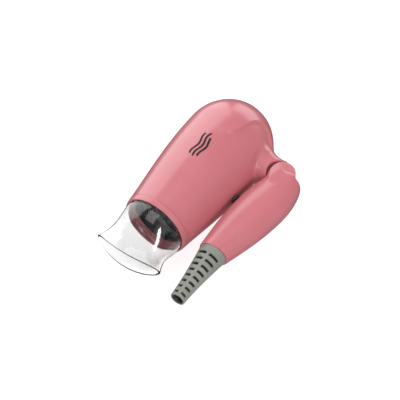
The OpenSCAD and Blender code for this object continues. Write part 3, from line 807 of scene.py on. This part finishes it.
def makeGrilleTree():
    tree, source = newTree("grilleRings", frontGrille)
    given = source.outputs

    def add(kind, inputs=(), **settings):
        return addNode(tree, "GeometryNode" + kind, inputs, **settings)

    def calc(operation, first, second):
        return addMath(tree, operation, first, second)

    def vector(axis, value):
        return addNode(tree, "ShaderNodeCombineXYZ", {axis: value}).outputs[0]

    def circle(resolution, radius):
        return add("CurvePrimitiveCircle", {"Resolution": resolution, "Radius": radius}).outputs["Curve"]

    def onPoints(count, instance, **inputs):
        # Real copies of an instance, each with its own scale or turn.
        line = add("MeshLine", {"Offset": (0, 0, 0), "Count": count})
        place = add("InstanceOnPoints", {"Points": line.outputs["Mesh"], "Instance": instance, **inputs})
        return add("RealizeInstances", {0: place.outputs["Instances"]}).outputs[0]

    def crowned(curve):
        # Lifts each point onto a dome of the crown's radius and height.
        place = add("InputPosition").outputs[0]
        flat = addNode(tree, "ShaderNodeVectorMath", {0: place}, operation="LENGTH").outputs["Value"]
        ratio = calc("DIVIDE", flat, given["Crown Radius"])
        rest = calc("SUBTRACT", 1.0, calc("MULTIPLY", ratio, ratio))
        rise = calc("MULTIPLY", calc("SQRT", rest, 0.0), given["Crown Height"])
        return add("SetPosition", {"Geometry": curve, "Offset": vector("Z", rise)}).outputs[0]

    def swept(curve, width, depth):
        up = add("SetCurveNormal", {"Curve": curve}, mode="Z_UP")
        section = add("CurvePrimitiveQuadrilateral", {"Width": width, "Height": depth})
        return add("CurveToMesh", {"Curve": crowned(up.outputs[0]), "Profile Curve": section.outputs[0],
                                   "Fill Caps": True}).outputs[0]

    index = add("InputIndex").outputs[0]
    radius = calc("ADD", given["First Radius"], calc("MULTIPLY", index, given["Ring Pitch"]))
    rings = onPoints(given["Rings"], circle(96, 1.0), Scale=radius)
    outer = circle(128, calc("SUBTRACT", given["Outer Radius"], given["Rib Width"]))
    inner = circle(48, calc("MULTIPLY", given["Hub Radius"], 0.5))
    ends = {end: vector("X", calc("MULTIPLY", given[label], 0.96))
            for end, label in (("Start", "Hub Radius"), ("End", "Outer Radius"))}
    spoke = add("ResampleCurve", {"Curve": add("CurvePrimitiveLine", ends).outputs[0], "Count": 16})
    turn = calc("MULTIPLY", calc("ADD", index, 0.5), calc("DIVIDE", 2 * math.pi, given["Ribs"]))
    spokes = onPoints(given["Ribs"], spoke.outputs[0], Rotation=vector("Z", turn))
    join = add("JoinGeometry")
    for part in (swept(rings, given["Fin Width"], given["Fin Depth"]),
                 swept(outer, calc("MULTIPLY", given["Rib Width"], 2.0), given["Rib Depth"]),
                 swept(inner, given["Hub Radius"], given["Rib Depth"]),
                 swept(spokes, given["Rib Width"], given["Rib Depth"])):
        tree.links.new(part, join.inputs[0])
    return closeTree(tree, source, join.outputs[0])


grilleTree = makeGrilleTree()


def buildGrille(name, node, values, middle):
    mesh = fromTree(name, grilleTree, {**values, "Finish": materials["grille"]})
    # The tree draws the grille about its own Z axis; this lays that axis along the barrel.
    place = start + Vector((middle * mm, 0, 0))
    mesh.transform(Matrix.Translation(place) @ Matrix.Rotation(math.pi / 2, 4, "Y"))
    addPiece(name, mesh, "barrel", "grille", (node,), sharp=30, place=False)


buildGrille("outletGrille", "outlet_grille", frontGrille, 4.3)
buildGrille("rearGrille", "rear_grille", backGrille, barrel["domeA"] - 2.0)
print("grilles done")


# Clear nozzle.
nozzle = {
    "baseR": 27.72, "plugEnd": -0.4, "plugFrom": -4.4, "bevel": 0.35, "baseEnd": 8.5, "waistW": 26.2,
    "mouthW": 31.5, "mouthH": 10.5, "length": 47, "bow": 6.5, "wall": 1.6, "sides": 144, "rings": 44,
}


def nozzleSection(s):
    width = (nozzle["baseR"] + (nozzle["waistW"] - nozzle["baseR"]) * math.sin(math.pi * min(1, s / 0.9))
             + (nozzle["mouthW"] - nozzle["baseR"]) * s ** 3)
    height = nozzle["baseR"] + (nozzle["mouthH"] - nozzle["baseR"]) * (1 - math.cos(math.pi * s)) / 2
    return width, height


def nozzleRing(s, inset):
    turn = np.linspace(0, 2 * math.pi, nozzle["sides"], endpoint=False)
    width, height = nozzleSection(s)
    y, z = (width - inset) * np.cos(turn), (height - inset) * np.sin(turn)
    reach = nozzle["length"] - nozzle["bow"] * (y / nozzle["mouthW"]) ** 2
    return np.stack([-(nozzle["baseEnd"] + (reach - nozzle["baseEnd"]) * s), y, z], 1)


def buildNozzle():
    wall = nozzle["wall"]
    rings = []

    def plugRing(a, inset):
        turn = np.linspace(0, 2 * math.pi, nozzle["sides"], endpoint=False)
        radius = nozzle["baseR"] - inset
        rings.append(np.stack([np.full(len(turn), a), radius * np.cos(turn), radius * np.sin(turn)], 1))

    bevel = nozzle["bevel"]
    plugRing(nozzle["plugEnd"], wall - bevel)
    plugRing(nozzle["plugEnd"], bevel)
    plugRing(nozzle["plugEnd"] - bevel, 0)
    plugRing(nozzle["plugFrom"], 0)
    steps = [i / nozzle["rings"] for i in range(nozzle["rings"])]
    for s in steps:
        rings.append(nozzleRing(s, 0))
    # The lip at the mouth is a half round.
    for i in range(7):
        t = math.pi * i / 6
        ring = nozzleRing(1, wall / 2 * (1 - math.cos(t)))
        ring[:, 0] += wall * 0.35 * (1 - math.sin(t))
        rings.append(ring)
    for s in reversed(steps):
        rings.append(nozzleRing(s, wall))
    plugRing(nozzle["plugFrom"], wall)
    plugRing(nozzle["plugEnd"] - bevel, wall)
    mesh = toMesh("clearNozzle", np.vstack(rings), ringFaces(len(rings), nozzle["sides"]))
    fixNormals(mesh)
    addPiece("clearNozzle", mesh, "nozzle", "clear_plastic", ("concentrator_nozzle",),
             sharp=60)


buildNozzle()
print("nozzle done")


# Handle.
handle = {
    "endR": 12.7, "endSlope": 0.1, "fullR": 19.6, "fullA": 60, "tip": 103.2, "p": 55, "slope": 0.09,
    "power": 2.25, "endThick": 12, "thick": 15.5, "hingeThick": 14.2, "thickFrom": -10, "thickTo": 48,
    "thinFrom": 55, "thinTo": 92, "heelAngle": 80, "frontAngle": 221, "edge": 1.8,
    "earR": 10.6, "earFace": 13.6, "earEdge": 2.6, "earBlend": 9, "earShift": 0.5, "slotHalf": 6,
    "slotGap": 1.5, "mouthR": 8.3, "mouthTo": 4, "wall": 1.6, "seam": 0.12, "step": 0.5,
}
screws = {"places": ((23, 9), (66, 7)), "headZ": -10, "wellR": 2.8}
# The slider's slot, and how far along the handle its neighbourhood reaches.
switchSlot = {"from": 50.5, "to": 67, "half": 3.4, "nearFrom": 45, "nearTo": 72, "under": 8}


def handleMiddle(a):
    return handle["p"] + handle["slope"] * a


def handleRadius(a):
    grow = handle["endR"] + (handle["fullR"] - handle["endR"]) * np.sin(
        np.clip(a, -2, handle["fullA"]) / handle["fullA"] * math.pi / 2)
    left = 1 - ((a - handle["fullA"]) / (handle["tip"] - handle["fullA"])) ** 2
    return np.where(a < handle["fullA"], grow, handle["fullR"] * np.sqrt(np.maximum(left, 0.02)))


def handleField(x, y, z):
    p = -y
    grow = (handle["thick"] - handle["endThick"]) * smoothStep(handle["thickFrom"], handle["thickTo"], x)
    thin = (handle["thick"] - handle["hingeThick"]) * smoothStep(handle["thinFrom"], handle["thinTo"], x)
    thick = handle["endThick"] + grow - thin
    body = roundedOval(p - handleMiddle(x), z, handleRadius(x), thick, handle["power"])
    dx, dp = x - hinge.x, p + hinge.y
    heel, front = math.radians(handle["heelAngle"]), math.radians(handle["frontAngle"])
    keep = np.maximum(dx * math.sin(heel) - dp * math.cos(heel),
                      -dx * math.sin(front) + dp * math.cos(front))
    body = softMax(body, keep, handle["edge"])
    away = np.hypot(dx - handle["earShift"], dp - handle["earShift"])
    ears = softMax(away - handle["earR"], np.abs(z) - handle["earFace"], handle["earEdge"])
    body = softMin(body, ears, 4 + handle["earBlend"] * smoothStep(4, -6, dp))
    slot = np.maximum(np.hypot(dx, dp) - neck["tongueR"] - handle["slotGap"],
                      np.abs(z) - handle["slotHalf"])
    body = softMax(body, -slot, 0.5)
    end = (handle["endSlope"] * (p - handle["p"]) - x) * 0.99
    return softMax(body, end, 0.9)


def buildHandleHalf(side):
    def field(x, y, z):
        body = handleField(x, y, z)
        mouth = np.maximum(np.hypot(y + handle["p"], z) - handle["mouthR"], x - handle["mouthTo"])
        body = softMax(body, -mouth, 0.3)
        if side < 0:
            for a, out in screws["places"]:
                centre = -(handleMiddle(a) + out)
                well = np.maximum(np.hypot(x - a, y - centre) - screws["wellR"], z - screws["headZ"])
                body = softMax(body, -well, 0.3)
        return body

    step = handle["step"] * 1
    mesh = toMesh("handleShell", *meshHalf(field, side, (-1.5, -86, -2 * step), (105.5, -38, 17), step))
    keepSide(mesh, (0, 0, 0), (0, 0, side))
    cutSwitchSlot(mesh)
    addSeam(mesh, handle["seam"])
    addHalf(mesh, side, "handle", handle["wall"])


def cutSwitchSlot(mesh):
    # The slot for the slider, in the side of the handle that faces the barrel.
    bm = opened(mesh)
    inner, half = handle["p"] - switchSlot["under"], switchSlot["half"]

    def facesWithin(first, last, reach):
        found = []
        for f in bm.faces:
            c = f.calc_center_median()
            if first < c.x < last and abs(c.z) < reach and -c.y < inner:
                found.append(f)
        return found

    for place, normal in (((switchSlot["from"], 0, 0), (1, 0, 0)), ((switchSlot["to"], 0, 0), (1, 0, 0)),
                          ((0, 0, half), (0, 0, 1)), ((0, 0, -half), (0, 0, 1))):
        near = facesWithin(switchSlot["nearFrom"], switchSlot["nearTo"], handle["thick"])
        edges = list({e for f in near for e in f.edges})
        verts = list({v for f in near for v in f.verts})
        bmesh.ops.bisect_plane(bm, geom=verts + edges + near, dist=1e-5, plane_co=place, plane_no=normal)
    gone = facesWithin(switchSlot["from"], switchSlot["to"], half)
    bmesh.ops.delete(bm, geom=gone, context="FACES")
    stored(bm, mesh)


buildHandleHalf(1)
buildHandleHalf(-1)
print("handle casing done")


# Strain relief.
relief = {
    "length": 53, "tipR": 6.6, "baseR": 12.1, "boreR": 3.6, "mouthR": 5.0, "boreWall": 0.9, "lean": 3.2,
    "rows": 8, "firstRow": 7.9, "rowPitch": 5.94, "slotWidth": 2.4, "slotFloor": 3.4, "spine": 1.35,
    "sideFrom": 0.43, "neckR": 8.0, "flangeR": 9.6, "step": 0.36,
}


def reliefRadius(d):
    taper = np.clip(1 - d / relief["length"], 0, 1.1) ** 1.5
    return relief["tipR"] + (relief["baseR"] - relief["tipR"]) * taper


def alongRelief(x, y):
    # Distance out along the relief's leaning middle line, distance across it, and across the handle's.
    lean = math.radians(relief["lean"])
    out = -y - handle["p"]
    return -x * math.cos(lean) + out * math.sin(lean), x * math.sin(lean) + out * math.cos(lean), out


def reliefField(x, y, z):
    d, across, out = alongRelief(x, y)
    rho = np.hypot(across, z)
    skin = rho - reliefRadius(d)
    body = softMax(skin, d - relief["length"], 1.2)
    body = softMax(body, (x + 0.1 - handle["endSlope"] * out) * 0.99, 0.8)
    row = np.clip(np.round((d - relief["firstRow"]) / relief["rowPitch"]), 0, relief["rows"] - 1)
    along = np.abs(d - relief["firstRow"] - row * relief["rowPitch"]) - relief["slotWidth"] / 2
    window = np.maximum(relief["spine"] - np.abs(across), relief["sideFrom"] * rho - np.abs(z))
    depth = reliefRadius(d) - relief["slotFloor"] - rho
    flare = smoothStep(relief["length"] - 5, relief["length"] - 0.5, d)
    bore = relief["boreR"] + (relief["mouthR"] - relief["boreR"]) * flare
    slot = np.maximum(np.maximum(along, window), np.maximum(depth, bore + relief["boreWall"] - rho))
    body = softMax(body, -slot, 0.5)
    neckPart = np.maximum(np.hypot(out, z) - relief["neckR"], np.maximum(x - 3.4, -x - 1))
    flange = np.maximum(np.hypot(out, z) - relief["flangeR"], np.maximum(x - 6.2, 3.2 - x))
    body = np.minimum(body, np.minimum(neckPart, flange))
    return softMax(body, bore - rho, 0.4)


def reliefSlotShade(points):
    # How deep each point lies below the relief's outer skin, from 0 to 1 at the slots' floors: the mask for
    # the painted shade that darkens the slots.
    d, across, _ = alongRelief(points[:, 0], points[:, 1])
    below = reliefRadius(d) - np.hypot(across, points[:, 2])
    return smoothStep(0.5, 2.0, below) * smoothStep(relief["length"] + 0.3, relief["length"] - 0.7, d)


def buildRelief():
    step = relief["step"] * 1
    points, faces = meshField(reliefField, (-56, -74, -13), (7.5, -42, 13), step, relax=2)
    mesh = toMesh("strainRelief", points, faces)
    # The sunk attribute is the mask for the painted shade in the slots.
    sunk = mesh.attributes.new("sunk", "FLOAT", "POINT")
    sunk.data.foreach_set("value", reliefSlotShade(points).astype(np.float32))
    addPiece("strainRelief", mesh, "handle", "relief_rubber", ("strain_relief",), sharp=50)


buildRelief()
print("strain relief done")


# Switch slider.
slider = {
    "from": 51, "length": 6, "gripOver": 0.8, "gripHalf": 5, "gripUnder": 17.1, "gripThick": 1.8,
    "stemHalf": 3.0, "stemUnder": 10.1, "ridges": 4, "ridgesOver": 6.6, "ridgeDepth": 0.35, "step": 0.2,
}


def sliderField(x, y, z):
    p = -y
    middle = slider["from"] + slider["length"] / 2
    halfGrip = slider["length"] / 2 + slider["gripOver"]
    phase = (x - middle) * 2 * math.pi * slider["ridges"] / slider["ridgesOver"]
    ridge = slider["ridgeDepth"] * (0.5 - 0.5 * np.cos(phase))
    ridge = ridge * smoothStep(3.6, 3.0, np.abs(x - middle)) * smoothStep(4.6, 4.0, np.abs(z))
    top = handle["p"] - slider["gripUnder"]
    grip = softMax(softMax(np.abs(x - middle) - halfGrip, np.abs(z) - slider["gripHalf"], 1.6),
                   np.maximum(top + ridge - p, p - top - slider["gripThick"]), 0.8)
    stem = np.maximum(np.maximum(np.abs(x - middle) - slider["length"] / 2, np.abs(z) - slider["stemHalf"]),
                      np.maximum(top + 1 - p, p - handle["p"] + slider["stemUnder"]))
    return np.minimum(grip, stem)


def buildSlider():
    low, high = (49.2, -46.0, -5.8), (58.8, -37.6, 5.8)
    mesh = toMesh("switchSlider", *meshField(sliderField, low, high, slider["step"], relax=1))
    addPiece("switchSlider", mesh, "switch", "switch_black", ("switch_knob",), sharp=50)


buildSlider()
print("slider done")


# Screws, by Geometry Nodes.
# Heads only: the shanks below them stay as the CAD solids.
screwHead = {"Head Radius": 0.0026, "Head Height": 0.0013, "Recess Length": 0.0028,
             "Recess Width": 0.0007, "Recess Depth": 0.0011}


def makeScrewTree():
    tree, source = newTree("screwHeads", screwHead)
    given = source.outputs

    def scaled(label, factor):
        return addMath(tree, "MULTIPLY", given[label], factor)

    head = addNode(tree, "GeometryNodeMeshCone", {
        "Vertices": 40, "Side Segments": 3, "Radius Top": scaled("Head Radius", 0.82),
        "Radius Bottom": given["Head Radius"], "Depth": given["Head Height"]})
    cut = addNode(tree, "GeometryNodeMeshBoolean", {"Mesh 1": head.outputs["Mesh"]},
                  operation="DIFFERENCE", solver="EXACT")
    lift = addNode(tree, "ShaderNodeCombineXYZ", {"Z": given["Head Height"]})
    for along, over in (("X", "Y"), ("Y", "X")):
        size = addNode(tree, "ShaderNodeCombineXYZ", {
            along: given["Recess Length"], over: given["Recess Width"], "Z": scaled("Recess Depth", 2.0)})
        bar = addNode(tree, "GeometryNodeMeshCube", {"Size": size.outputs[0]})
        move = addNode(tree, "GeometryNodeTransform", {
            "Geometry": bar.outputs["Mesh"], "Translation": lift.outputs[0]})
        tree.links.new(move.outputs[0], cut.inputs["Mesh 2"])
    place = addNode(tree, "GeometryNodeInstanceOnPoints", {
        "Points": given["Geometry"], "Instance": cut.outputs["Mesh"]})
    return closeTree(tree, source, place.outputs[0])


screwTree = makeScrewTree()


def buildScrewHeads(name, body, places):
    # The tree draws the heads facing up, and the flip turns them out of the right-hand half.
    flip = Matrix.Rotation(math.pi, 4, "X")
    seats = [flip @ (start + Vector(place) * mm) for place in places]
    mesh = fromTree(name, screwTree, {**screwHead, "Finish": materials["steel"]}, seats)
    mesh.transform(flip)
    addPiece(name, mesh, body, "steel", sharp=25, place=False)


buildScrewHeads("handleScrewHeads", "handle",
                [(a, -(handleMiddle(a) + out), screws["headZ"] + 0.1) for a, out in screws["places"]])
buildScrewHeads("neckScrewHead", "barrel", [(*barrelScrew["place"], barrelScrew["headZ"])])
print("screw heads done")


# Parts that are carried over from the CAD keep their shapes and take a finish.
nodeFinish = {
    "inlet_filter": "filter_mesh", "mica_tube": "mica", "heater_boards": "mica",
    "heater_coils": "coil_wire", "heater_rivets": "brass_fittings", "thermostat": "control_ceramic",
    "thermal_fuse": "steel", "rectifier_board": "circuit_board", "rectifier_diodes": "component_black",
    "fan_duct": "inner_plastic", "motor_sleeve": "sleeve_rubber", "motor_can": "steel",
    "motor_end_cap": "inner_plastic", "barrel_leads": "wire_red", "neck_screw": "steel",
    "motor_shaft": "steel", "fan_impeller": "inner_plastic", "hinge_pin": "steel",
    "hinge_washers": "brass_fittings", "switch_body": "component_black", "handle_leads": "wire_red",
    "lead_connectors": "steel", "cord_clamp": "component_black", "cord_clamp_screws": "steel",
    "handle_screws": "steel",
}
for name, finish in nodeFinish.items():
    nodes[name].data.materials.clear()
    nodes[name].data.materials.append(materials[finish])
print("carried-over nodes dressed")
